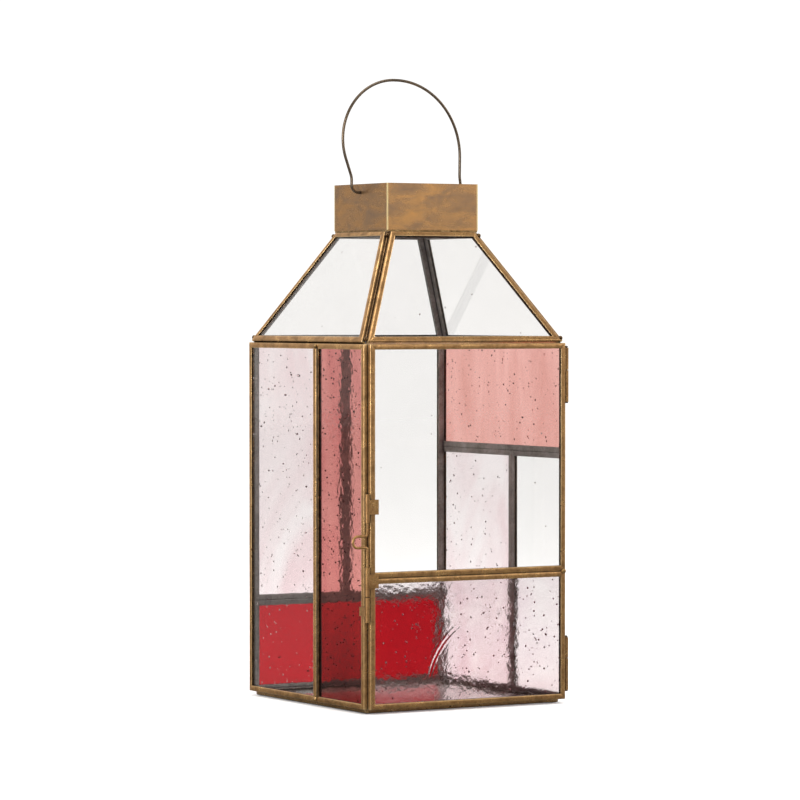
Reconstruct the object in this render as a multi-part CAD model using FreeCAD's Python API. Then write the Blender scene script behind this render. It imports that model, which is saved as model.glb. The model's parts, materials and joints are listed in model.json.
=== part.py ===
"""Square candle lantern of glass panes, each bound in its own brass channel.

Frame: +Z up, origin at the centre of the base on the surface that it stands on.
The door is on the -Y side, hinged at its +X edge. Lengths are in millimetres.
"""
import FreeCAD, Part
import math
import os

from FreeCAD import Rotation, Vector

# ---- driving dimensions -------------------------------------------------
body_half = 80.0            # outer faces of the left, right and back panels
channel_width = 3.8         # face width of the brass channel round each pane
channel_thickness = 3.8     # depth of the channel, through the pane
channel_wall = 0.9          # sheet left at the closed side and on each cheek
channel_round = 0.9         # rounding of the closed side's two long edges
lip_round = 0.3             # rounding of the lips beside the glass
glass_play = 0.1            # clearance between the glass and each cheek

panel_bottom = 2.9          # side panels start above the floor panel's foot
panel_top = 246.3
left_divider_y = -15.0
back_rail_z = 66.0
back_divider_x = -2.0
right_rail_z = 171.0
right_divider_y = -15.0

door_left = -77.05
door_right = 77.3
door_gap = 0.2              # between the door's back and the side panels' ends
door_rail_z = 90.6

roof_pitch = 59.9           # degrees from the horizontal
roof_top_half = 36.7        # outer top edge of each roof pane

collar_half = 36.1
collar_top = 355.0
collar_wall = 0.8

bail_z = 349.2              # pivot height of the bail
bail_wire = 2.0             # diameter
bail_hole = 2.16            # diameter of its two holes in the collar

bolt_x = -79.0              # latch bolt's axis
bolt_y = -83.2
bolt_wire = 1.8
bolt_bore = 1.92
sleeve_radius = 1.6
sleeve_sheet = 0.6
bolt_bottom = 78.5          # drawn bolt, clear above the receiver
bolt_top = 142.5
bolt_handle_z = 115.0
handle_half = 3.8           # half the height of the U pulled out as its handle
handle_reach = -90.8        # centre of the U's outer limb
handle_rise = 1.4           # the U's tip stands a little prouder than its root
sleeve_tab = 8.0            # width of the tabs that hold the sleeves and the receiver
upper_sleeve = (127.4, 146.6, 133.0, 143.0)     # tube's low and high, tab's low and high
lower_sleeve = (78.6, 97.9, 84.0, 93.4)
receiver_tab = (65.4, 71.4)
receiver_bottom = 61.2
receiver_top = 78.0

hinge_x = 78.9              # door hinge axis
hinge_y = -82.1
hinge_radius = 1.4
hinge_pin = 1.4             # diameter
hinge_bore = 1.5            # bore of the turning knuckle

# ---- values that follow ---------------------------------------------------
inner_half = body_half - channel_thickness
door_front = -body_half - door_gap - channel_thickness
slope = math.radians(roof_pitch)
eave_drop = channel_round * (math.sin(slope) + math.cos(slope) - 1)
roof_eave_z = panel_top + channel_thickness * math.cos(slope) - eave_drop
roof_length = (body_half - roof_top_half) / math.cos(slope)
roof_mitre = channel_thickness * math.sin(slope)
roof_top_z = roof_eave_z + roof_length * math.sin(slope)
bead_half = collar_half - 0.3
bead_bottom = roof_top_z - (roof_top_half - bead_half) / math.tan(slope)
collar_bottom = bead_bottom + 1.1


os.makedirs("parts", exist_ok=True)


def export(name, *solids):
    shape = solids[0] if len(solids) == 1 else Part.makeCompound(list(solids))
    shape.exportStep("parts/" + name + ".step")


# ---- panes bound in channel -----------------------------------------------
def rectangle(low_u, low_v, high_u, high_v):
    """Outline of an upright pane, anticlockwise seen from outside."""
    return [(low_u, low_v), (high_u, low_v), (high_u, high_v), (low_u, high_v)]


def inset(outline, distance):
    """The same convex outline with every side moved inwards by the distance."""
    lines = []
    for index, (u, v) in enumerate(outline):
        next_u, next_v = outline[(index + 1) % len(outline)]
        length = math.hypot(next_u - u, next_v - v)
        along = ((next_u - u) / length, (next_v - v) / length)
        moved = (u - along[1] * distance, v + along[0] * distance)
        lines.append((moved, along))
    corners = []
    for index, (point, along) in enumerate(lines):
        before_point, before_along = lines[index - 1]
        cross = before_along[0] * along[1] - before_along[1] * along[0]
        gap_u = point[0] - before_point[0]
        gap_v = point[1] - before_point[1]
        step = (gap_u * along[1] - gap_v * along[0]) / cross
        corner_u = before_point[0] + before_along[0] * step
        corner_v = before_point[1] + before_along[1] * step
        corners.append((corner_u, corner_v))
    return corners


def prism(outline, low, high):
    points = [Vector(u, v, low) for u, v in outline]
    face = Part.Face(Part.makePolygon(points + points[:1]))
    return face.extrude(Vector(0, 0, high - low))


def flat_edges(shape, outline):
    """Edges that follow the outline on the front and back of a frame."""
    found = []
    for edge in shape.Edges:
        middle = edge.CenterOfMass
        start_z = edge.Vertexes[0].Z
        level = abs(start_z - edge.Vertexes[-1].Z) < 1e-6
        on_cheek = min(abs(start_z), abs(start_z + channel_thickness)) < 1e-6
        for index, (u, v) in enumerate(outline):
            next_u, next_v = outline[(index + 1) % len(outline)]
            offset = math.hypot(middle.x - (u + next_u) / 2, middle.y - (v + next_v) / 2)
            if level and on_cheek and offset < 1e-4:
                found.append(edge)
    return found


def bound_pane(name, outline, placement):
    """A U channel mitred round a pane, and the pane: the outer face is at 0."""
    opening = inset(outline, channel_width)
    bottom_of_slot = inset(outline, channel_wall)
    frame = prism(outline, -channel_thickness, 0)
    frame = frame.cut(prism(opening, -channel_thickness - 1, 1))
    frame = frame.makeFillet(channel_round, flat_edges(frame, outline))
    frame = frame.makeFillet(lip_round, flat_edges(frame, opening))
    slot_back = -channel_thickness + channel_wall
    frame = frame.cut(prism(bottom_of_slot, slot_back, -channel_wall))
    pane = prism(bottom_of_slot, slot_back + glass_play, -channel_wall - glass_play)
    for suffix, solid in (("frame", frame), ("glass", pane)):
        placed = solid.copy()
        placed.Placement = placement
        export(name + "_" + suffix, placed)


def facing(across, up, origin):
    """Placement whose X runs across the pane, Y up it and Z outwards."""
    outwards = across.cross(up)
    return FreeCAD.Placement(origin, Rotation(across, up, outwards, "ZXY"))


UP = Vector(0, 0, 1)
TO_RIGHT = Vector(1, 0, 0)
TO_BACK = Vector(0, 1, 0)

# Left panel: two tall panes side by side. Across runs from back to front.
left_face = facing(TO_BACK * -1, UP, Vector(-body_half, 0, 0))
bound_pane("left_rear", rectangle(-body_half, panel_bottom, -left_divider_y, panel_top), left_face)
bound_pane("left_front", rectangle(-left_divider_y, panel_bottom, body_half, panel_top), left_face)

# Right panel: one wide pane over two narrower ones. Across runs front to back.
right_face = facing(TO_BACK, UP, Vector(body_half, 0, 0))
bound_pane("right_upper", rectangle(-body_half, right_rail_z, body_half, panel_top), right_face)
bound_pane("right_lower_front",
           rectangle(-body_half, panel_bottom, right_divider_y, right_rail_z), right_face)
bound_pane("right_lower_rear",
           rectangle(right_divider_y, panel_bottom, body_half, right_rail_z), right_face)

# Back panel, between the side panels: two panes over one wide low pane.
back_face = facing(TO_RIGHT * -1, UP, Vector(0, body_half, 0))
bound_pane("back_lower",
           rectangle(-inner_half, panel_bottom, inner_half, back_rail_z), back_face)
bound_pane("back_upper_left",
           rectangle(-back_divider_x, back_rail_z, inner_half, panel_top), back_face)
bound_pane("back_upper_right",
           rectangle(-inner_half, back_rail_z, -back_divider_x, panel_top), back_face)

# Door: two panes one above the other, in front of the side panels' ends.
door_face = facing(TO_RIGHT, UP, Vector(0, door_front, 0))
bound_pane("door_lower", rectangle(door_left, panel_bottom, door_right, door_rail_z), door_face)
bound_pane("door_upper", rectangle(door_left, door_rail_z, door_right, panel_top), door_face)

# Floor panel: set between the side panels, its foot below them.
floor_face = facing(TO_RIGHT, TO_BACK * -1, Vector(0, 0, 0))
bound_pane("base", rectangle(-inner_half, -inner_half, inner_half, inner_half), floor_face)

# Roof: four sloping panes whose inner edges meet along the hips.
roof_bottom_half = body_half - roof_mitre
roof_upper_half = roof_top_half - roof_mitre
roof_outline = [(-roof_bottom_half, 0), (roof_bottom_half, 0),
                (roof_upper_half, roof_length), (-roof_upper_half, roof_length)]
for roof_name, turn in (("front", 0), ("right", 90), ("back", 180), ("left", 270)):
    turned = Rotation(UP, turn)
    across = turned.multVec(TO_RIGHT)
    up_slope = turned.multVec(Vector(0, math.cos(slope), math.sin(slope)))
    eave = turned.multVec(Vector(0, -body_half, roof_eave_z))
    bound_pane("roof_" + roof_name, roof_outline, facing(across, up_slope, eave))


# ---- collar and bail --------------------------------------------------------
def square_tube(half, wall, low, high):
    outer = Part.makeBox(2 * half, 2 * half, high - low, Vector(-half, -half, low))
    hollow = half - wall
    inner = Part.makeBox(2 * hollow, 2 * hollow, high - low, Vector(-hollow, -hollow, low))
    return outer.cut(inner)


def rod(start, end, radius):
    return Part.makeCylinder(radius, start.distanceToPoint(end), start, end - start)


def bent_wire(points, bends, diameter):
    """Round wire through the points, with an arc of the given radius at each bend."""
    edges = []
    last = points[0]
    for index, radius in enumerate(bends):
        before, corner, after = points[index], points[index + 1], points[index + 2]
        back = (before - corner).normalize()
        ahead = (after - corner).normalize()
        half_angle = back.getAngle(ahead) / 2
        tangent = radius / math.tan(half_angle)
        first = corner + back * tangent
        second = corner + ahead * tangent
        bisector = (back + ahead).normalize()
        centre = corner + bisector * (radius / math.sin(half_angle))
        middle = centre - bisector * radius
        if last.distanceToPoint(first) > 1e-6:
            edges.append(Part.LineSegment(last, first).toShape())
        edges.append(Part.Arc(first, middle, second).toShape())
        last = second
    edges.append(Part.LineSegment(last, points[-1]).toShape())
    path = Part.Wire(edges)
    start_direction = (points[1] - points[0]).normalize()
    ring = Part.Wire(Part.Circle(points[0], start_direction, diameter / 2).toShape())
    return path.makePipeShell([ring], True, False)


collar = square_tube(collar_half, collar_wall, collar_bottom, collar_top)
through = Vector(collar_half + 5, 0, bail_z)
collar = collar.cut(rod(through * -1 + Vector(0, 0, 2 * bail_z), through, bail_hole / 2))
export("collar", collar)

# The bail's wire: up inside the collar, out through the hole, up the outside,
# round the hand-bent arch and back down to the other hole.
bail_points = [
    Vector(-30.8, 0, 352.6), Vector(-31.6, 0, bail_z), Vector(-43.2, 0, bail_z),
    Vector(-43.0, 0, 359.4), Vector(-54.6, 0, 392.0), Vector(-30.2, 0, 426.8),
    Vector(13.5, 0, 426.8), Vector(44.0, 0, 396.3), Vector(43.5, 0, 361.0),
    Vector(45.3, 0, bail_z), Vector(31.8, 0, bail_z), Vector(30.6, 0, 352.8),
]
bail_bends = [1.6, 5.2, 12.0, 40.6, 40.6, 51.8, 51.8, 20.0, 5.2, 1.6]
export("bail_handle", bent_wire(bail_points, bail_bends, bail_wire))


# ---- latch ------------------------------------------------------------------
def latch_sleeve(low, high, tab_low, tab_high):
    """Rolled sheet tube with a tab soldered flat on the door stile's face."""
    body = Part.makeCylinder(sleeve_radius, high - low, Vector(bolt_x, bolt_y, low))
    tab_corner = Vector(bolt_x, door_front - sleeve_sheet, tab_low)
    tab = Part.makeBox(sleeve_tab, sleeve_sheet, tab_high - tab_low, tab_corner)
    body = body.fuse(tab)
    return body.cut(Part.makeCylinder(bolt_bore / 2, high - low, Vector(bolt_x, bolt_y, low)))


export("latch_upper_sleeve", latch_sleeve(*upper_sleeve))
export("latch_lower_sleeve", latch_sleeve(*lower_sleeve))

# Receiver: the same rolled tube, its tab soldered on the left panel's face.
receiver_height = receiver_top - receiver_bottom
receiver_foot = Vector(bolt_x, bolt_y, receiver_bottom)
receiver = Part.makeCylinder(sleeve_radius, receiver_height, receiver_foot)
tab_corner = Vector(-body_half - sleeve_sheet, bolt_y, receiver_tab[0])
tab_height = receiver_tab[1] - receiver_tab[0]
receiver = receiver.fuse(Part.makeBox(sleeve_sheet, sleeve_tab, tab_height, tab_corner))
receiver = receiver.cut(Part.makeCylinder(bolt_bore / 2, receiver_height, receiver_foot))
export("latch_receiver", receiver)

# Bolt: straight wire with a U pulled out of it towards -X as its handle.
bolt_points = [
    Vector(bolt_x, bolt_y, bolt_bottom),
    Vector(bolt_x, bolt_y, bolt_handle_z - handle_half),
    Vector(handle_reach, bolt_y - handle_rise, bolt_handle_z - handle_half),
    Vector(handle_reach, bolt_y - handle_rise, bolt_handle_z + handle_half),
    Vector(bolt_x, bolt_y, bolt_handle_z + handle_half),
    Vector(bolt_x, bolt_y, bolt_top),
]
bolt_bends = [1.9, 3.7, 3.7, 1.9]
export("latch_bolt", bent_wire(bolt_points, bolt_bends, bolt_wire))


# ---- hinges -----------------------------------------------------------------
def knuckle(low, high, bore, plate_low, plate_high):
    """Tube on the hinge axis with the strip that is soldered to its panel."""
    height = high - low
    body = Part.makeCylinder(hinge_radius, height, Vector(hinge_x, hinge_y, low))
    size = plate_high - plate_low
    strip = Part.makeBox(size.x, size.y, height, Vector(plate_low.x, plate_low.y, low))
    body = body.fuse(strip)
    return body.cut(Part.makeCylinder(bore / 2, height, Vector(hinge_x, hinge_y, low)))


body_strip = (Vector(77.75, -80.95, 0), Vector(80.0, -80.0, 0))
door_strip = (Vector(77.3, -83.3, 0), Vector(77.75, -80.9, 0))
knuckle_gap = 0.3
pin_head = 0.8
pin_head_radius = 1.1
for hinge_name, low, split, high in (("upper", 206.0, 227.7, 243.0), ("lower", 9.0, 30.7, 45.0)):
    fixed = knuckle(low, split, hinge_pin, *body_strip)
    turning = knuckle(split + knuckle_gap, high, hinge_bore, *door_strip)
    shank_bottom = Vector(hinge_x, hinge_y, low - pin_head)
    shank = Part.makeCylinder(hinge_pin / 2, high - low + pin_head + knuckle_gap, shank_bottom)
    foot = Part.makeCylinder(pin_head_radius, pin_head, shank_bottom)
    head_centre = Vector(hinge_x, hinge_y, high + knuckle_gap)
    head = Part.makeSphere(pin_head_radius, head_centre, UP, 0, 90, 360)
    export(hinge_name + "_hinge_body_knuckle", fixed)
    export(hinge_name + "_hinge_door_knuckle", turning)
    export(hinge_name + "_hinge_pin", shank.fuse([foot, head]).removeSplitter())


# ---- solder -----------------------------------------------------------------
def dome(centre, outwards, radius):
    """Half a ball of solder on a flat face."""
    return Part.makeSphere(radius, centre, outwards, 0, 90, 360)


left = TO_RIGHT * -1
front = TO_BACK * -1

body_joints = [
    dome(Vector(-body_half, left_divider_y, panel_bottom + 2), left, 1.9),
    dome(Vector(-body_half, left_divider_y, panel_top - 2), left, 1.6),
    dome(Vector(body_half, right_divider_y, panel_bottom + 2), TO_RIGHT, 1.8),
    dome(Vector(body_half, right_divider_y, right_rail_z), TO_RIGHT, 1.8),
    dome(Vector(back_divider_x, body_half, back_rail_z), TO_BACK, 1.8),
    dome(Vector(back_divider_x, body_half, panel_top - 2), TO_BACK, 1.6),
]
for side in (-1, 1):
    for height in (panel_bottom + 2.2, back_rail_z, panel_top - 2.2):
        joint = Vector(side * inner_half, body_half, height)
        body_joints.append(dome(joint, TO_BACK, 1.7))
export("body_solder", *body_joints)

# Only the hinge end of the door's rail shows a joint: the sleeve hides the other.
export("door_solder", dome(Vector(door_right - 2.0, door_front, door_rail_z), front, 1.8))

# A recessed bead carries the collar on the roof panes' top edges.
export("collar_solder", square_tube(bead_half, 0.9, bead_bottom, collar_bottom))

# Solder fills the root of each hip's groove, with a ball at the eave and another below
# the collar, all of it clear of the two channels beside it.
groove_half_angle = math.acos(math.cos(slope) ** 2) / 2
hip_rise = math.atan(math.tan(slope) / math.sqrt(2))
hip_clearance = 0.1
ball_radius = 1.6
seam_radius = 0.8


def hip_place(height, radius):
    """Centre of a round section that lies in the front right hip's groove."""
    root_half = body_half - (height - roof_eave_z) / math.tan(slope)
    root_half -= channel_thickness / math.sin(slope)
    offset = radius / math.sin(groove_half_angle) + hip_clearance
    out = root_half + offset * math.sin(hip_rise) / math.sqrt(2)
    return Vector(out, -out, height + offset * math.cos(hip_rise))


ball_heights = (roof_eave_z, roof_top_z - 4.6)
seam_ends = [hip_place(height, seam_radius) for height in ball_heights]
hip_joint = rod(*seam_ends, seam_radius)
for height in ball_heights:
    hip_joint = hip_joint.fuse(Part.makeSphere(ball_radius, hip_place(height, ball_radius)))
hip_joints = []
for quarter in range(4):
    turned_joint = hip_joint.copy()
    turned_joint.rotate(Vector(0, 0, 0), UP, 90 * quarter)
    hip_joints.append(turned_joint)
export("roof_solder", *hip_joints)
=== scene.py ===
"""Looks of the candle lantern: brass channel, rippled coloured glass, sheet collar, wire.

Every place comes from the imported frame, in metres. MM turns millimetres into metres.
"""
import json
import math
import random

import bmesh
import bpy
import numpy as np
from mathutils import Matrix, Vector, noise


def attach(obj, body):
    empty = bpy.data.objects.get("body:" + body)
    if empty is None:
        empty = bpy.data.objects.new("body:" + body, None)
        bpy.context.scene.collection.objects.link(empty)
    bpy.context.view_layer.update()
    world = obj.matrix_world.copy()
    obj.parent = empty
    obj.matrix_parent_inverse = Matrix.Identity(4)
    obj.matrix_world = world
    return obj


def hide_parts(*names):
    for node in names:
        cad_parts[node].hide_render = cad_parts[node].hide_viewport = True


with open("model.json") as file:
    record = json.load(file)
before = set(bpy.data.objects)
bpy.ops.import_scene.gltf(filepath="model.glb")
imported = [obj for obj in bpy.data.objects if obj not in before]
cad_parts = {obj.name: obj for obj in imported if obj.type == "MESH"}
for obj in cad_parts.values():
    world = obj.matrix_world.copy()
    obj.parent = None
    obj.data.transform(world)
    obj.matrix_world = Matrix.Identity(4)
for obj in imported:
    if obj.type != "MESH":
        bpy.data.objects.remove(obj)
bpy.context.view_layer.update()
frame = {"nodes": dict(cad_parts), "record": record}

MM = 0.001
UP = Vector((0, 0, 1))
NODES = frame["nodes"]
BODIES = frame["record"]["behaviour"]["bodies"]
BODY_OF = {node: body for body, nodes in BODIES.items() for node in nodes}
SLOT_OF = {part["node"]: part["material_slot"] for part in frame["record"]["subparts"]}


# ---- node trees ----------------------------------------------------------------
NO_TINT = (1.0, 1.0, 1.0)
BLACK = (0.0, 0.0, 0.0)
MIX_INPUTS = (0, 6, 7)     # a colour Mix node's factor, first colour and second colour
MIX_OUTPUT = 2


def grey(level):
    return (level,) * 3


class Tree:
    """A node tree, with short calls for the nodes used here."""

    def __init__(self, tree):
        self.tree = tree

    def add(self, kind, **settings):
        """Adds a node with the given settings."""
        node = self.tree.nodes.new(kind)
        for key, value in settings.items():
            setattr(node, key, value)
        return node

    def link(self, source, target):
        self.tree.links.new(source, target)

    def fill(self, socket, value):
        """Sets a socket to a number or a colour, or links another socket to it."""
        if isinstance(value, bpy.types.NodeSocket):
            self.link(value, socket)
        elif isinstance(value, tuple):
            socket.default_value = (*value, 1.0)
        else:
            socket.default_value = value

    def ramp(self, source, stops):
        """Colour by value, from stops of (position, colour)."""
        node = self.add("ShaderNodeValToRGB")
        elements = node.color_ramp.elements
        while len(elements) < len(stops):
            elements.new(0.5)
        for element, (position, colour) in zip(elements, stops):
            element.position = position
            element.color = (*colour, 1.0)
        self.link(source, node.inputs["Fac"])
        return node.outputs["Color"]

    def blend(self, factor, first, second, target):
        """Leads the first shader to a socket where the factor is 0, the second where it is 1."""
        node = self.add("ShaderNodeMixShader")
        self.link(factor, node.inputs["Fac"])
        self.link(first.outputs[0], node.inputs[1])
        self.link(second.outputs[0], node.inputs[2])
        self.link(node.outputs[0], target)


class Graph(Tree):
    """The node tree of a new material."""

    def __init__(self, name):
        self.material = bpy.data.materials.new(name)
        self.material.use_nodes = True
        super().__init__(self.material.node_tree)
        self.shader = self.tree.nodes["Principled BSDF"]
        self.surface = self.tree.nodes["Material Output"].inputs["Surface"]
        self.place = self.add("ShaderNodeTexCoord").outputs["Object"]

    def noise(self, scale, detail=3.0, roughness=0.5, stretch=None, distortion=0.0):
        """Noise over the object's own metres; scale is in features per metre."""
        node = self.add("ShaderNodeTexNoise")
        node.inputs["Scale"].default_value = scale
        node.inputs["Detail"].default_value = detail
        node.inputs["Roughness"].default_value = roughness
        node.inputs["Distortion"].default_value = distortion
        source = self.place
        if stretch:
            mapping = self.add("ShaderNodeMapping")
            mapping.inputs["Scale"].default_value = stretch
            self.link(source, mapping.inputs["Vector"])
            source = mapping.outputs["Vector"]
        self.link(source, node.inputs["Vector"])
        return node.outputs["Fac"]

    def fade(self, source, start, end):
        """0 where the source is at start, 1 where it is at end."""
        node = self.add("ShaderNodeMapRange")
        node.inputs["From Min"].default_value = start
        node.inputs["From Max"].default_value = end
        self.link(source, node.inputs["Value"])
        return node.outputs["Result"]

    def axes(self):
        """The object's own X, Y and Z, each as a socket."""
        node = self.add("ShaderNodeSeparateXYZ")
        self.link(self.place, node.inputs[0])
        return node.outputs

    def near_corner(self, half):
        """1 at the upright corners of a square tube, 0 a little way from them."""
        nearer = self.add("ShaderNodeMath", operation="MINIMUM")
        axes = self.axes()
        for axis, socket in zip(("X", "Y"), nearer.inputs):
            side = self.add("ShaderNodeMath", operation="ABSOLUTE")
            self.link(axes[axis], side.inputs[0])
            self.link(side.outputs[0], socket)
        return self.fade(nearer.outputs[0], half - SEAM_OUTER, half - SEAM_INNER)

    def mix(self, kind, factor, first, second):
        """Mixes two colours; each value is a number, a colour or a socket."""
        node = self.add("ShaderNodeMix", data_type="RGBA", blend_type=kind)
        for index, value in zip(MIX_INPUTS, (factor, first, second)):
            self.fill(node.inputs[index], value)
        return node.outputs[MIX_OUTPUT]

    def set(self, **values):
        """Fills sockets of the shader; a name's underscores stand for spaces."""
        for key, value in values.items():
            self.fill(self.shader.inputs[key.replace("_", " ")], value)

    def bump(self, source, strength, distance):
        """Relief from a height, on the whole shader."""
        node = self.add("ShaderNodeBump")
        node.inputs["Strength"].default_value = strength
        node.inputs["Distance"].default_value = distance
        self.link(source, node.inputs["Height"])
        self.link(node.outputs["Normal"], self.shader.inputs["Normal"])


# ---- brass ---------------------------------------------------------------------
METALLIC = 0.84
PATINA_AT = (0.26, 0.49, 0.74)     # levels of the cloud noise: dark, middle, light
SPECK_TINT = (0.45, 0.36, 0.28)
SPECKS_AT = (0.34, 0.52)           # levels of the fine noise: full speck, none
# Painted shade: the brass is darkened in its hollows, by how little of the room they see.
PAINTED_SHADE_TINT = (0.06, 0.03, 0.012)
PAINTED_SHADE_AT = (0.35, 0.82)          # openness of a hollow: full painted shade, none
PAINTED_SHADE_REACH = 3.0 * MM
PAINTED_SHADE_SAMPLES = 6
PAINTED_SHADE_SHARE = 0.95
GLOSS_AT = (0.3, 0.7)              # levels of the cloud noise: matt, glossy
EDGES_AT = (0.51, 0.57)            # sharpness of an edge: plain, worn bright with a painted highlight
# Colour of the bright edges: worn brass and a painted highlight.
WORN_HIGHLIGHT_BRASS = (1.0, 0.76, 0.40)
CORNER_HIGHLIGHT_BRASS = (0.95, 0.74, 0.38)    # a corner with a painted highlight
SEAM_ROUGHNESS = 0.34
SEAM_OUTER = 1.1 * MM              # the painted highlight begins this far from the corner
SEAM_INNER = 0.5 * MM              # and is full from here on
DENTS_PER_METRE = 420.0
DENT_STRENGTH = 0.25


def brass(name, dark, middle, light, roughness=(0.22, 0.42), patch=55.0, fine=900.0,
          stretch=None, corner_highlight=None, relief=0.12, specks=0.4, rub_and_highlight=0.0):
    """Aged brass: cloudy patina, fine specks, painted shade in the hollows, uneven gloss.

    roughness is (glossiest, dullest); patch and fine are features per metre. seam is
    the distance from the middle to a square tube's corners, which get a painted highlight.
    relief is the height of the hammered surface, in mm. specks is how strong the
    specks are, and rubbed is how bright the edges are, from wear and a painted highlight.
    """
    graph = Graph(name)
    glossiest, dullest = roughness
    cloud = graph.noise(patch, detail=5.0, roughness=0.62, stretch=stretch, distortion=0.6)
    colour = graph.ramp(cloud, list(zip(PATINA_AT, (dark, middle, light))))
    grain = graph.noise(fine, detail=2.0, roughness=0.6)
    speck = graph.ramp(grain, list(zip(SPECKS_AT, (SPECK_TINT, NO_TINT))))
    colour = graph.mix("MULTIPLY", specks, colour, speck)
    # Painted shade in the hollows of the brass.
    hollow = graph.add("ShaderNodeAmbientOcclusion", samples=PAINTED_SHADE_SAMPLES)
    hollow.inputs["Distance"].default_value = PAINTED_SHADE_REACH
    shade = graph.ramp(hollow.outputs["AO"], list(zip(PAINTED_SHADE_AT, (PAINTED_SHADE_TINT, NO_TINT))))
    colour = graph.mix("MULTIPLY", PAINTED_SHADE_SHARE, colour, shade)
    gloss = graph.ramp(cloud, list(zip(GLOSS_AT, (grey(dullest), grey(glossiest)))))
    # Bright edges by sharpness: wear and a painted highlight.
    if rub_and_highlight:
        sharpness = graph.add("ShaderNodeNewGeometry").outputs["Pointiness"]
        edge = graph.ramp(sharpness, list(zip(EDGES_AT, (BLACK, grey(rub_and_highlight)))))
        colour = graph.mix("MIX", edge, colour, WORN_HIGHLIGHT_BRASS)
    # Painted highlight along the upright corners, which are also glossier.
    if corner_highlight:
        corner = graph.near_corner(corner_highlight)
        colour = graph.mix("MIX", corner, colour, CORNER_HIGHLIGHT_BRASS)
        gloss = graph.mix("MIX", corner, gloss, grey(SEAM_ROUGHNESS))
    graph.set(Base_Color=colour, Metallic=METALLIC, Roughness=gloss)
    dents = graph.noise(DENTS_PER_METRE, detail=4.0, roughness=0.6)
    graph.bump(dents, DENT_STRENGTH, relief * MM)
    return graph.material


WARM_PATINA = {
    "dark": (0.26, 0.135, 0.050), "middle": (0.52, 0.28, 0.110), "light": (0.84, 0.49, 0.19),
}
BRASSES = {
    "aged_brass": {**WARM_PATINA, "patch": 120.0, "rub_and_highlight": 0.6},
    "small_brass": {**WARM_PATINA, "patch": 160.0},
    # Dark solder for the roof's joints; on the channels it is painted shade at the lips and in the
    # slots.
    "dark_solder_and_painted_shade": {
        "dark": (0.05, 0.026, 0.012), "middle": (0.15, 0.085, 0.036), "light": (0.34, 0.20, 0.085),
        "patch": 260.0,
    },
    # A greyer, rougher copy of the brass for channel faces inside the lantern: painted reflection
    # of the white room.
    "brass_with_painted_reflection": {
        "dark": (0.13, 0.115, 0.105), "middle": (0.25, 0.225, 0.21), "light": (0.38, 0.35, 0.33),
        "roughness": (0.35, 0.55),
    },
    "collar_brass": {
        "dark": (0.30, 0.19, 0.12), "middle": (0.42, 0.235, 0.108), "light": (0.56, 0.285, 0.095),
        "roughness": (0.2, 0.34), "patch": 45.0, "fine": 300.0, "stretch": (1.0, 1.0, 2.6),
        "corner_highlight": 36.1 * MM, "relief": 0.05, "specks": 0.12,
    },
    "wire_brass": {
        "dark": (0.10, 0.075, 0.055), "middle": (0.16, 0.12, 0.085), "light": (0.24, 0.17, 0.11),
        "roughness": (0.25, 0.4), "patch": 30.0, "fine": 200.0, "relief": 0.02, "specks": 0.1,
    },
    "solder": {
        "dark": (0.16, 0.09, 0.035), "middle": (0.46, 0.28, 0.11), "light": (0.8, 0.55, 0.26),
        "roughness": (0.2, 0.36), "patch": 260.0,
    },
}

# ---- glass and the painted dark skin of its bubbles ------------------------------
GLASS_IOR = 1.5
EVEN_CLOUD = 0.985                 # the cloud's tint in plain glass, as a share of the glass's
CLOUD_AT = (0.36, 0.66)            # levels of the drifting noise: glass, cloud
RIPPLES_PER_METRE = 520.0
FOOT_FADE = 22.0                   # mm above and below the foot's height over which the painted shade deepens
SKIN_PATCHES = 900.0               # to the metre
SKIN_AT = (0.3, 0.7)               # levels of the noise: a bubble's skin, its paler patches
PALE_SKIN = 1.8


def glass(name, through, cloud=None, cloud_scale=22.0, stretch=None, ripple=0.0, foot=None):
    """Glass that tints what is behind it; through is what one pane's two faces let by.

    cloud is the tint of its drifting clouds, cloud_scale of them to the metre. ripple
    is the height of its finest ripples, in mm. foot darkens the glass towards the
    floor as painted shade: the height in mm, and the tint there.
    """
    graph = Graph(name)
    if ripple:
        graph.bump(graph.noise(RIPPLES_PER_METRE, roughness=0.6), 1.0, ripple * MM)
    other = cloud or tuple(value * EVEN_CLOUD for value in through)
    drift = graph.noise(cloud_scale, detail=4.0, roughness=0.6, stretch=stretch, distortion=1.2)
    tint = graph.ramp(drift, list(zip(CLOUD_AT, (through, other))))
    # Painted shade: the glass darkens towards the floor.
    if foot:
        height, foot_shade_tint = foot
        top, bottom = (height + FOOT_FADE) * MM, (height - FOOT_FADE) * MM
        depth = graph.fade(graph.axes()["Z"], top, bottom)
        tint = graph.mix("MULTIPLY", depth, tint, foot_shade_tint)
    graph.set(Base_Color=tint, Transmission_Weight=1.0, Roughness=0.0, IOR=GLASS_IOR)
    rays = graph.add("ShaderNodeLightPath")
    clear = graph.add("ShaderNodeBsdfTransparent")
    clear.inputs["Color"].default_value = (*through, 1.0)
    graph.blend(rays.outputs["Is Shadow Ray"], graph.shader, clear, graph.surface)
    return graph.material


def seed(name, colour):
    """Dark skin of a small closed bubble: painted shade for the dark look that refraction gives
    it.
    """
    graph = Graph(name)
    paler = tuple(level * PALE_SKIN for level in colour)
    mottle = graph.noise(SKIN_PATCHES, detail=2.0)
    tone = graph.ramp(mottle, list(zip(SKIN_AT, (colour, paler))))
    graph.set(Base_Color=tone, Roughness=0.25)
    return graph.material


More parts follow.
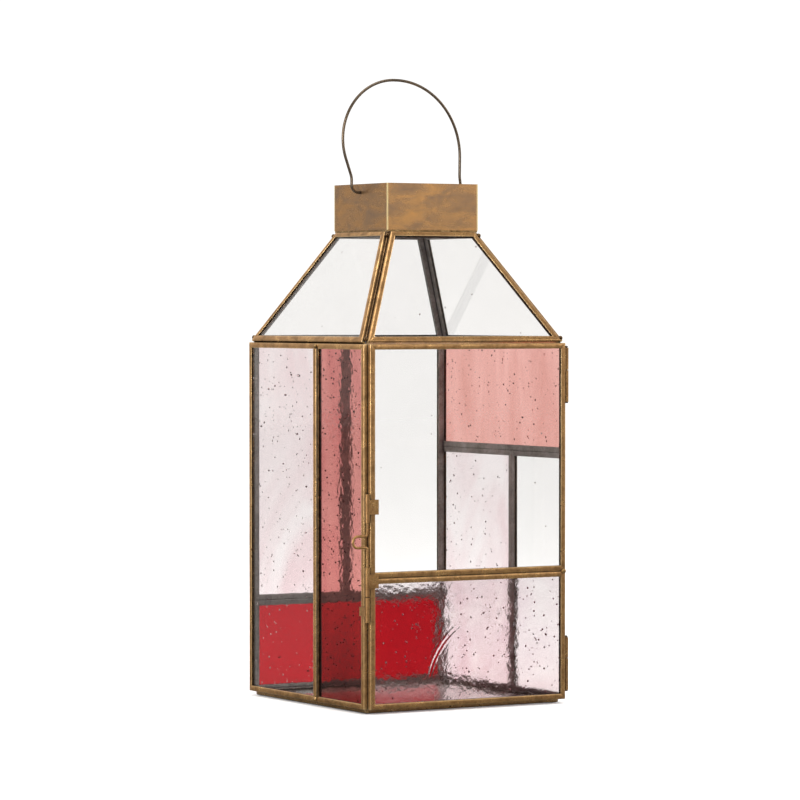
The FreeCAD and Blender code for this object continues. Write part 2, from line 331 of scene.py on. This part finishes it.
GLASSES = {
    "clear_glass": {"through": (0.98, 0.972, 0.962)},
    "clear_seedy_glass": {
        "through": (0.75, 0.66, 0.68), "cloud": (0.80, 0.75, 0.75), "ripple": 0.06,
    },
    "pale_pink_seedy_glass": {
        "through": (0.95, 0.89, 0.89), "cloud": (0.86, 0.68, 0.70), "cloud_scale": 16.0,
        "stretch": (1.0, 1.0, 0.45), "ripple": 0.012,
    },
    # The coral glass darkens towards the floor as painted shade.
    "coral_seedy_glass": {
        "through": (0.72, 0.31, 0.27), "cloud": (0.62, 0.22, 0.20), "cloud_scale": 26.0,
        "stretch": (1.0, 1.0, 0.25), "ripple": 0.012, "foot": (56.0, (0.62, 0.64, 0.64)),
    },
    "light_coral_glass": {
        "through": (0.93, 0.50, 0.45), "cloud": (0.80, 0.38, 0.33), "cloud_scale": 34.0,
        "stretch": (1.0, 1.0, 0.16), "ripple": 0.012,
    },
    "red_glass": {"through": (0.40, 0.006, 0.012)},
}
# Colours of the bubbles' dark skins: painted shade for the dark look that refraction gives
# bubbles.
SEEDS = {
    "seed_in_clear_glass": (0.20, 0.17, 0.16),
    "seed_in_clear_seedy_glass": (0.12, 0.06, 0.065),
    "seed_in_pale_pink_seedy_glass": (0.07, 0.03, 0.03),
    "seed_in_coral_seedy_glass": (0.03, 0.007, 0.007),
    "seed_in_red_glass": (0.10, 0.01, 0.012),
}
MATERIALS = {name: brass(name, **look) for name, look in BRASSES.items()}
MATERIALS.update({name: glass(name, **look) for name, look in GLASSES.items()})
MATERIALS.update({name: seed(name, colour) for name, colour in SEEDS.items()})


def dress(obj, material):
    """Gives an object one material. A bare mesh keeps its faces' material numbers."""
    if obj.data.materials:
        obj.data.materials.clear()
    obj.data.materials.append(MATERIALS[material])


def new_piece(name, mesh_data, node):
    """Makes a piece that stands for a CAD node and moves with its body."""
    mesh = bpy.data.meshes.new(name)
    if isinstance(mesh_data, bmesh.types.BMesh):
        mesh_data.to_mesh(mesh)
        mesh_data.free()
    else:
        mesh.from_pydata(*mesh_data)
    mesh.update()
    obj = bpy.data.objects.new(name, mesh)
    bpy.context.scene.collection.objects.link(obj)
    mesh.polygons.foreach_set("use_smooth", [True] * len(mesh.polygons))
    dress(obj, SLOT_OF[node])
    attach(obj, BODY_OF[node])
    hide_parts(node)
    return obj


# ---- the plane of each pane ----------------------------------------------------
SAME_HEIGHT = 1e-5


class PanePlane:
    """Basis and outline of a pane, read from its flat CAD slab.

    across and up lie in the pane and out points away from the lantern. The outline
    is the glass's own, anticlockwise seen from outside, in (across, up) metres.
    """

    def __init__(self, name):
        points = {tuple(round(c, 6) for c in v.co) for v in NODES[name + "_glass"].data.vertices}
        cloud = np.array(sorted(points))
        self.centre = Vector(cloud.mean(axis=0))
        normal = Vector(np.linalg.svd(cloud - cloud.mean(axis=0))[2][2])
        away = Vector((self.centre.x, self.centre.y, 0.0)) if name != "base" else -UP
        self.out = normal if normal.dot(away) > 0 else -normal
        upright = UP if name != "base" else Vector((0, 1, 0))
        self.up = (upright - self.out * upright.dot(self.out)).normalized()
        self.across = self.up.cross(self.out)
        local = [Vector(p) - self.centre for p in cloud]
        depths = [p.dot(self.out) for p in local]
        self.half_depth = max(depths)
        flat = [(p.dot(self.across), p.dot(self.up)) for p, d in zip(local, depths) if d > 0]
        self.outline = sorted(flat, key=lambda uv: math.atan2(uv[1], uv[0]))
        us = [u for u, v in self.outline]
        vs = [v for u, v in self.outline]
        self.width = max(us) - min(us)
        self.low, self.high = min(vs), max(vs)
        self.bottom = sorted(u for u, v in self.outline if abs(v - self.low) < SAME_HEIGHT)
        self.top = sorted(u for u, v in self.outline if abs(v - self.high) < SAME_HEIGHT)

    def place(self, u, v, w=0.0):
        """World place of a point: w is measured outwards from the glass's mid plane."""
        return self.centre + self.across * u + self.up * v + self.out * w

    def ends(self, share):
        """Left and right end of the level line this share of the way up the glass."""
        left = self.bottom[0] + (self.top[0] - self.bottom[0]) * share
        right = self.bottom[-1] + (self.top[-1] - self.bottom[-1]) * share
        return left, right

    def area(self):
        level_sides = (self.top[-1] - self.top[0]) + (self.bottom[-1] - self.bottom[0])
        return (self.high - self.low) * level_sides / 2


def mitre_vectors(outline):
    """For each corner, how far it moves for each metre that the sides move inwards."""
    vectors = []
    for index, corner in enumerate(outline):
        before = Vector(outline[index - 1])
        here = Vector(corner)
        after = Vector(outline[(index + 1) % len(outline)])
        first = (here - before).normalized()
        second = (after - here).normalized()
        normal_1 = Vector((-first.y, first.x))
        normal_2 = Vector((-second.y, second.x))
        vectors.append((normal_1 + normal_2) / (1 + normal_1.dot(normal_2)))
    return vectors


# ---- brass channel ---------------------------------------------------------------
WALL_MM = 0.9
CHANNEL_WALL = WALL_MM * MM  # the glass goes in to this distance from the channel's closed side
CHANNEL_DEPTH = 3.8 * MM
GLASS_SETBACK = 1.0 * MM     # channel's outer face to the glass's outer face
RING_STEP = 2.5 * MM         # spacing of a channel's cross sections along a side
MITRE_PINCH = 0.12 * MM      # how deep the groove of a mitre is
MITRE_GROOVE = 0.35 * MM     # and how wide to each side
# Handwork: features per metre, and how far they reach in mm.
BOW_SCALE, BOW = 38.0, 0.09
TILT_SCALE, TILT = 30.0, 0.10
DENT_SCALE, DENT = 330.0, 0.022
TILT_SHIFT = Vector((7, 3, 1))

# The two halves of the section: (in from the closed side, away from that half's face).
FRONT_HALF = [(3.8, 0.9), (3.8, 0.34), (3.62, 0.13), (3.2, 0.04), (2.4, 0.0), (1.5, 0.0),
              (0.95, 0.06), (0.56, 0.2), (0.27, 0.44), (0.08, 0.78), (0.0, 1.2)]
BACK_HALF = [(0.0, 0.6), (0.07, 0.3), (0.24, 0.1), (0.52, 0.0), (0.95, 0.0), (2.4, 0.0),
             (3.5, 0.0), (3.72, 0.1), (3.8, 0.3), (3.8, 0.9)]

# Face k of the section goes from its point k to the next one. The slot follows BACK_LIP.
FRONT_LIP = 0
BACK_LIP = len(FRONT_HALF) + len(BACK_HALF) - 2
BRIGHT, PAINTED_REFLECTION, IN_PAINTED_SHADE = 0, 1, 2  # material numbers in a channel: plain, painted reflection, painted shade
# The side of a pane whose channel is painted in shade all round; 3 is the left, seen from outside.
SHADED_SIDES = {"left_front": 3}


def channel_section():
    """Closed section of the U: outside from lip to lip, then back along the slot."""
    depth = CHANNEL_DEPTH / MM
    outside = FRONT_HALF + [(s, depth - w) for s, w in BACK_HALF]
    slot = [(WALL_MM, depth - WALL_MM), (WALL_MM, WALL_MM)]
    return [(s * MM, w * MM) for s, w in outside + slot]


def face_finish(k):
    """Plain brass in front, a greyer copy with a painted reflection at the back, painted shade at
    the lips and in the slot.
    """
    if k == FRONT_LIP or k >= BACK_LIP:
        return IN_PAINTED_SHADE
    return PAINTED_REFLECTION if k >= len(FRONT_HALF) else BRIGHT


def stations(length):
    """Where the cross sections are, as shares of a side, closer together at its mitres."""
    count = max(4, round(length / RING_STEP))
    near = MITRE_GROOVE / length
    return [0.0, near] + [k / count for k in range(1, count)] + [1.0 - near]


def channel_ring(plane, section, base, mitre, pinch):
    """One cross section of the channel, with the slight waver of handwork."""
    front = plane.half_depth + GLASS_SETBACK
    middle = plane.place(base.x, base.y)
    bow = mitre.normalized() * abs(noise.noise(middle * BOW_SCALE)) * BOW * MM
    tilt = noise.noise(middle * TILT_SCALE + TILT_SHIFT) * TILT * MM
    ring = []
    for s, w in section:
        spot = base + mitre * max(s, pinch) + bow
        depth = min(max(w, pinch), CHANNEL_DEPTH - pinch)
        place = plane.place(spot.x, spot.y, front - depth)
        if w <= CHANNEL_DEPTH / 2:
            dent = noise.noise(place * DENT_SCALE) * DENT * MM
            place = place - plane.out * (abs(tilt) + abs(dent))
        ring.append(place)
    return ring


def channel(name):
    """Channel bent round a pane, with mitred corners."""
    plane = PanePlane(name)
    mitres = mitre_vectors(plane.outline)
    corners = [Vector(c) - m * CHANNEL_WALL for c, m in zip(plane.outline, mitres)]
    section = channel_section()
    verts, side_of_ring = [], []
    for index, corner in enumerate(corners):
        following = (index + 1) % len(corners)
        for station in stations((corners[following] - corner).length):
            pinch = MITRE_PINCH if station == 0.0 else 0.0
            base = corner.lerp(corners[following], station)
            mitre = mitres[index].lerp(mitres[following], station)
            verts += channel_ring(plane, section, base, mitre, pinch)
            side_of_ring.append(index)
    faces, finish = [], []
    size = len(section)
    for ring, side in enumerate(side_of_ring):
        here = ring * size
        ahead = ((ring + 1) % len(side_of_ring)) * size
        # Sides listed as shaded get painted shade on every face.
        dark = side == SHADED_SIDES.get(name)
        for k in range(size):
            after = (k + 1) % size
            faces.append((here + k, here + after, ahead + after, ahead + k))
            finish.append(IN_PAINTED_SHADE if dark else face_finish(k))
    obj = new_piece("brass_" + name, (verts, [], faces), name + "_frame")
    # Painted reflection: greyer brass on the channel faces inside the lantern.
    obj.data.materials.append(MATERIALS["brass_with_painted_reflection"])
    # Painted shade: dark solder on the lips, in the slot and on shaded sides.
    obj.data.materials.append(MATERIALS["dark_solder_and_painted_shade"])
    obj.data.polygons.foreach_set("material_index", finish)
    recalculate(obj)


def recalculate(obj):
    """Turns every face outwards."""
    work = bmesh.new()
    work.from_mesh(obj.data)
    bmesh.ops.recalc_face_normals(work, faces=work.faces)
    work.to_mesh(obj.data)
    work.free()


# ---- glass panes -----------------------------------------------------------------
# For each pane: grid step in mm, ripples as (height in mm, features per metre), and
# bubbles in each SEED_AREA.
FLAT = (12.0, [(0.012, 22.0)], 2)
SEEDY = (1.1, [(0.030, 50.0), (0.022, 150.0), (0.012, 400.0)], 130)
DRAWN = (1.0, [(0.018, 50.0), (0.016, 150.0), (0.022, 400.0)], 230)
WISPY = (1.3, [(0.030, 45.0), (0.016, 150.0)], 95)
RIPPLED = (0.9, [(0.045, 50.0), (0.040, 150.0), (0.038, 400.0)], 230)
SURFACE = {
    "left_front": DRAWN, "right_upper": SEEDY, "door_lower": RIPPLED, "left_rear": WISPY,
    "back_upper_left": WISPY, "right_lower_rear": WISPY, "back_lower": (2.0, [(0.03, 40.0)], 12),
}
RIPPLE_SHIFT = 3.1                 # so that a pane's two faces differ
PALER_GLASS = {"right_upper": "light_coral_glass"}

SEED_AREA = 0.01                   # m2, or 10 000 square millimetres
SEED_RADII = (0.32, 0.38, 0.46, 0.56, 0.72)
SEED_MARGIN = 4 * MM               # bubbles keep this far from the edges of the glass
SEED_DEPTH = 0.2                   # mm from the middle of the glass
SEED_FLATNESS = 0.7
SEED_SQUEEZE = (0.8, 1.1)
DRAWN_SEEDS = {"left_front": (1.2, 1.35)}    # how much larger, and how much more squeezed
PAINTED_DARK_SEEDS = 0.75                  # share of the bubbles with a dark skin of painted shade

# On the door's lower pane: combed streaks along the top, and one drawn thread.
HAND_MARKED = "door_lower"
COMB_HEIGHT, COMB_REACH = 0.14, 7.0 * MM
COMB_ACROSS, COMB_UP, COMB_SLANT = 60.0, 1100.0, 160.0    # streaks per metre
THREAD_CENTRE, THREAD_RADIUS = (22.0 * MM, -37.0 * MM), 55.0 * MM
THREAD_HEIGHT, THREAD_WIDTH = 0.22, 1.0 * MM
THREAD_ANGLES = (math.radians(122), math.radians(166))
THREAD_WAVE = 2.4                  # a groove beside the thread at each side


def hand_marks(u, v, top):
    """Extra height in mm of the door's lower pane at a point in its own plane."""
    comb = noise.noise(Vector((u * COMB_ACROSS, v * COMB_UP + u * COMB_SLANT, 5.0)))
    height = COMB_HEIGHT * comb * math.exp((v - top) / COMB_REACH)
    across, up = u - THREAD_CENTRE[0], v - THREAD_CENTRE[1]
    if THREAD_ANGLES[0] < math.atan2(up, across) < THREAD_ANGLES[1]:
        off = (math.hypot(across, up) - THREAD_RADIUS) / THREAD_WIDTH
        height += THREAD_HEIGHT * math.cos(THREAD_WAVE * off) * math.exp(-off * off / 4)
    return height


def slab(plane, step, ripples, marked):
    """Both faces and the rim of a pane, as a bmesh. marked adds the hand's marks outside."""
    columns = max(2, round(plane.width / (step * MM)))
    rows = max(2, round((plane.high - plane.low) / (step * MM)))
    work = bmesh.new()
    layers = []
    for side in (1, -1):
        own_ripples = Vector((RIPPLE_SHIFT * side, 1.7, 0.4))
        layer = []
        for row in range(rows + 1):
            share = row / rows
            left, right = plane.ends(share)
            v = plane.low + (plane.high - plane.low) * share
            line = []
            for column in range(columns + 1):
                u = left + (right - left) * column / columns
                place = plane.place(u, v, side * plane.half_depth)
                lift = sum(height * noise.noise(place * scale + own_ripples)
                           for height, scale in ripples)
                if marked and side == 1:
                    lift += hand_marks(u, v, plane.high)
                place += plane.out * (side * lift * MM)
                line.append(work.verts.new(place))
            layer.append(line)
        layers.append(layer)
    outer, inner = layers
    for row in range(rows):
        for column in range(columns):
            for layer, flip in ((outer, False), (inner, True)):
                quad = [layer[row][column], layer[row][column + 1],
                        layer[row + 1][column + 1], layer[row + 1][column]]
                work.faces.new(quad[::-1] if flip else quad)
    rim = [(0, c) for c in range(columns)] + [(r, columns) for r in range(rows)]
    rim += [(rows, c) for c in range(columns, 0, -1)] + [(r, 0) for r in range(rows, 0, -1)]
    for k, (row, column) in enumerate(rim):
        next_row, next_column = rim[(k + 1) % len(rim)]
        edge = work.faces.new([inner[row][column], inner[next_row][next_column],
                               outer[next_row][next_column], outer[row][column]])
        for border in edge.edges:
            border.smooth = False
    return work


def bubble(work, plane, place, radius, squeeze, skin):
    """A seed: a small hollow in the glass, so its faces look inwards."""
    turn = Matrix((plane.across, plane.up, plane.out)).transposed().to_4x4()
    scale = Matrix.Diagonal((radius * squeeze, radius / squeeze, radius * SEED_FLATNESS, 1.0))
    matrix = Matrix.Translation(place) @ turn @ scale
    made = bmesh.ops.create_icosphere(work, subdivisions=2, radius=1.0, matrix=matrix)
    faces = {face for vert in made["verts"] for face in vert.link_faces}
    for face in faces:
        face.material_index = skin
    bmesh.ops.reverse_faces(work, faces=list(faces))


def add_seeds(work, plane, name, density):
    """Scatters the bubbles of a pane between its sides."""
    draw = random.Random(name)
    larger, tighter = DRAWN_SEEDS.get(name, (1.0, 1.0))
    for _ in range(round(density * plane.area() / SEED_AREA)):
        v = draw.uniform(plane.low + SEED_MARGIN, plane.high - SEED_MARGIN)
        left, right = plane.ends((v - plane.low) / (plane.high - plane.low))
        u = draw.uniform(left + SEED_MARGIN, right - SEED_MARGIN)
        radius = draw.choice(SEED_RADII) * larger * MM
        w = draw.uniform(-SEED_DEPTH, SEED_DEPTH) * MM
        # Most bubbles get a dark skin of painted shade.
        skin = int(draw.random() < PAINTED_DARK_SEEDS)
        squeeze = draw.uniform(*SEED_SQUEEZE) * tighter
        bubble(work, plane, plane.place(u, v, w), radius, squeeze, skin)


def pane(name):
    """Slab of glass with its own surface and, where it is seedy, bubbles inside it."""
    plane = PanePlane(name)
    step, ripples, density = SURFACE.get(name, FLAT)
    work = slab(plane, step, ripples, name == HAND_MARKED)
    add_seeds(work, plane, name, density)
    node = name + "_glass"
    obj = new_piece("pane_" + name, work, node)
    if name in PALER_GLASS:
        obj.data.materials[0] = MATERIALS[PALER_GLASS[name]]
    obj.data.materials.append(MATERIALS["seed_in_" + SLOT_OF[node]])


PANES = [node[:-len("_glass")] for node in sorted(NODES) if node.endswith("_glass")]
for pane_name in PANES:
    channel(pane_name)
    pane(pane_name)


# ---- parts that keep their CAD shape -------------------------------------------
SMALL_MATERIALS = {"aged_brass": "small_brass"}    # by material slot
OWN_MATERIALS = {"latch_bolt": "small_brass", "roof_solder": "dark_solder_and_painted_shade"}    # by node
COLLAR_EDGE = 0.6                  # mm that worn edges are rounded by
FITTING_EDGE = 0.15
WORN_ANGLE = math.radians(35.0)    # edges sharper than this are worn


def soften(node, width):
    """Rounds the sharp edges of a CAD part a little, so that they catch the light."""
    bevel = NODES[node].modifiers.new("worn_edges", "BEVEL")
    bevel.width = width * MM
    bevel.segments = 2
    bevel.limit_method = "ANGLE"
    bevel.angle_limit = WORN_ANGLE


for node, obj in NODES.items():
    if not node.endswith(("_glass", "_frame")):
        slot = SLOT_OF[node]
        dress(obj, OWN_MATERIALS.get(node, SMALL_MATERIALS.get(slot, slot)))
soften("collar", COLLAR_EDGE)
for node in NODES:
    latch_fitting = node.startswith("latch_") and node != "latch_bolt"
    if latch_fitting or node.endswith("_knuckle"):
        soften(node, FITTING_EDGE)

# ---- floor and studio --------------------------------------------------------------
# Level direction from the lantern to the room's bright end. It is straight behind the
# lantern for the camera below, and stays fixed in the room when a view moves the camera.
FAR_WALL = (0.51, 0.86, 0.0)
# What polished brass and glass mirror: (0 at the near end to 1 at the far wall, colour).
NEAR_DARK = (0.28, (0.06, 0.057, 0.054))
FAR_BRIGHT = (0.95, (1.2, 1.18, 1.15))
MIRRORED_FLOOR = [NEAR_DARK, (0.74, (0.20, 0.195, 0.19)), FAR_BRIGHT]
MIRRORED_WALLS = [NEAR_DARK, (0.74, (0.45, 0.44, 0.42)), FAR_BRIGHT]
WHITE = 1.10                  # radiance of the white surroundings and of the far floor
FLOOR_GREY = 0.92
PATCH_SHARE = 0.995           # grey of the floor's faint patches, as a share of FLOOR_GREY
PATCHES_AT = (0.3, 0.7)       # levels of the noise: floor, patch
PATCHES_PER_METRE = 3.0
FLOOR_REACH = 6.0
FLOOR_DROP = 0.0004           # keeps the floor clear of the lantern's foot


def mirrored_room(tree, direction, stops):
    """Colour of the room that glossy rays see, by direction."""
    flat = tree.add("ShaderNodeVectorMath", operation="NORMALIZE")
    facing = tree.add("ShaderNodeVectorMath", operation="DOT_PRODUCT")
    facing.inputs[1].default_value = FAR_WALL
    share = tree.add("ShaderNodeMath", operation="MULTIPLY_ADD")
    share.inputs[1].default_value = 0.5
    share.inputs[2].default_value = 0.5
    tree.link(direction, flat.inputs[0])
    tree.link(flat.outputs["Vector"], facing.inputs[0])
    tree.link(facing.outputs["Value"], share.inputs[0])
    return tree.ramp(share.outputs[0], stops)


def mirrored_only(tree):
    """0 for what is seen straight or through glass, 1 for what is seen in a mirror."""
    rays = tree.add("ShaderNodeLightPath")
    share = tree.add("ShaderNodeMath", operation="MINIMUM")
    share.inputs[1].default_value = 1.0
    tree.link(rays.outputs["Glossy Depth"], share.inputs[0])
    return share.outputs[0]


def floor_white():
    """White floor that glows a little, so that it meets the white walls without a line."""
    graph = Graph("floor_white")
    greys = (grey(FLOOR_GREY), grey(FLOOR_GREY * PATCH_SHARE))
    tone = graph.ramp(graph.noise(PATCHES_PER_METRE), list(zip(PATCHES_AT, greys)))
    graph.set(Base_Color=tone, Roughness=0.9, Specular_IOR_Level=0.0)
    graph.set(Emission_Color=NO_TINT, Emission_Strength=WHITE * (1 - FLOOR_GREY))
    # Seen in a mirror, the floor glows with the grey room's colour instead of its own: painted
    # reflection.
    mirrored = graph.add("ShaderNodeEmission")
    graph.link(mirrored_room(graph, graph.place, MIRRORED_FLOOR), mirrored.inputs["Color"])
    graph.blend(mirrored_only(graph), graph.shader, mirrored, graph.surface)
    return graph.material


def floor_square():
    """Large square of floor under the lantern."""
    mesh = bpy.data.meshes.new("floor")
    corners = [(-FLOOR_REACH, -FLOOR_REACH, 0), (FLOOR_REACH, -FLOOR_REACH, 0),
               (FLOOR_REACH, FLOOR_REACH, 0), (-FLOOR_REACH, FLOOR_REACH, 0)]
    mesh.from_pydata(corners, [], [(0, 1, 2, 3)])
    square = bpy.data.objects.new("floor", mesh)
    square.location.z = -FLOOR_DROP
    bpy.context.scene.collection.objects.link(square)
    square.data.materials.append(floor_white())
    return square


def studio_world():
    """White all round; what polished metal and glass mirror is a softer grey room."""
    world = bpy.data.worlds.new("studio")
    bpy.context.scene.world = world
    world.use_nodes = True
    world.node_tree.nodes.clear()
    tree = Tree(world.node_tree)
    output = tree.add("ShaderNodeOutputWorld")
    white = tree.add("ShaderNodeBackground")
    room = tree.add("ShaderNodeBackground")
    direction = tree.add("ShaderNodeTexCoord").outputs["Generated"]
    white.inputs["Color"].default_value = (*NO_TINT, 1.0)
    white.inputs["Strength"].default_value = WHITE
    tree.link(mirrored_room(tree, direction, MIRRORED_WALLS), room.inputs["Color"])
    tree.blend(mirrored_only(tree), white, room, output.inputs["Surface"])


floor = floor_square()

# ---- lights ------------------------------------------------------------------------
LIGHT_TARGET = Vector((0, 0, 0.2))
# Name, azimuth and elevation in degrees, distance in m, width and height in m, watts.
SOFTBOXES = [
    ("left_box", -62, 16, 1.6, (0.5, 1.1), 16),
    ("right_box", 75, 20, 1.8, (0.7, 0.9), 7),
    ("front_box", 31, 16, 1.8, (1.1, 0.8), 3.0),
    ("top_box", 0, 80, 1.7, (1.2, 1.2), 12),
]


def softbox(name, azimuth, elevation, distance, size, power):
    """Area light that looks at the lantern; azimuth 0 is in front of the door."""
    light = bpy.data.lights.new(name, "AREA")
    light.shape = "RECTANGLE"
    light.size, light.size_y = size
    light.energy = power
    obj = bpy.data.objects.new(name, light)
    a, e = math.radians(azimuth), math.radians(elevation)
    away = Vector((math.sin(a) * math.cos(e), -math.cos(a) * math.cos(e), math.sin(e)))
    obj.location = LIGHT_TARGET + away * distance
    obj.rotation_euler = (-away).to_track_quat("-Z", "Y").to_euler()
    bpy.context.scene.collection.objects.link(obj)


for box in SOFTBOXES:
    softbox(*box)
studio_world()
bpy.context.scene.view_settings.view_transform = "Standard"

# ---- camera ------------------------------------------------------------------------
CAMERA_AZIMUTH = math.radians(-30.7)
CAMERA_DISTANCE = 2.7587
CAMERA_HEIGHT = 0.2705
SENSOR_WIDTH = 36.0           # mm, as is the lens
LENS = 179.811
CLIP_NEAR, CLIP_FAR = 0.05, 50.0
AIM_RIGHT = -0.00397          # the aim, to the right of the lantern's axis
AIM_HEIGHT = 0.20657

camera_data = bpy.data.cameras.new("camera")
camera_data.sensor_width = SENSOR_WIDTH
camera_data.lens = LENS
camera_data.clip_start, camera_data.clip_end = CLIP_NEAR, CLIP_FAR
camera = bpy.data.objects.new("camera", camera_data)
bpy.context.scene.collection.objects.link(camera)
back = Vector((math.sin(CAMERA_AZIMUTH), -math.cos(CAMERA_AZIMUTH), 0.0))
rightwards = Vector((math.cos(CAMERA_AZIMUTH), math.sin(CAMERA_AZIMUTH), 0.0))
camera.location = back * CAMERA_DISTANCE + UP * CAMERA_HEIGHT
aim = rightwards * AIM_RIGHT + UP * AIM_HEIGHT
camera.rotation_euler = (aim - camera.location).to_track_quat("-Z", "Y").to_euler()
bpy.context.scene.camera = camera
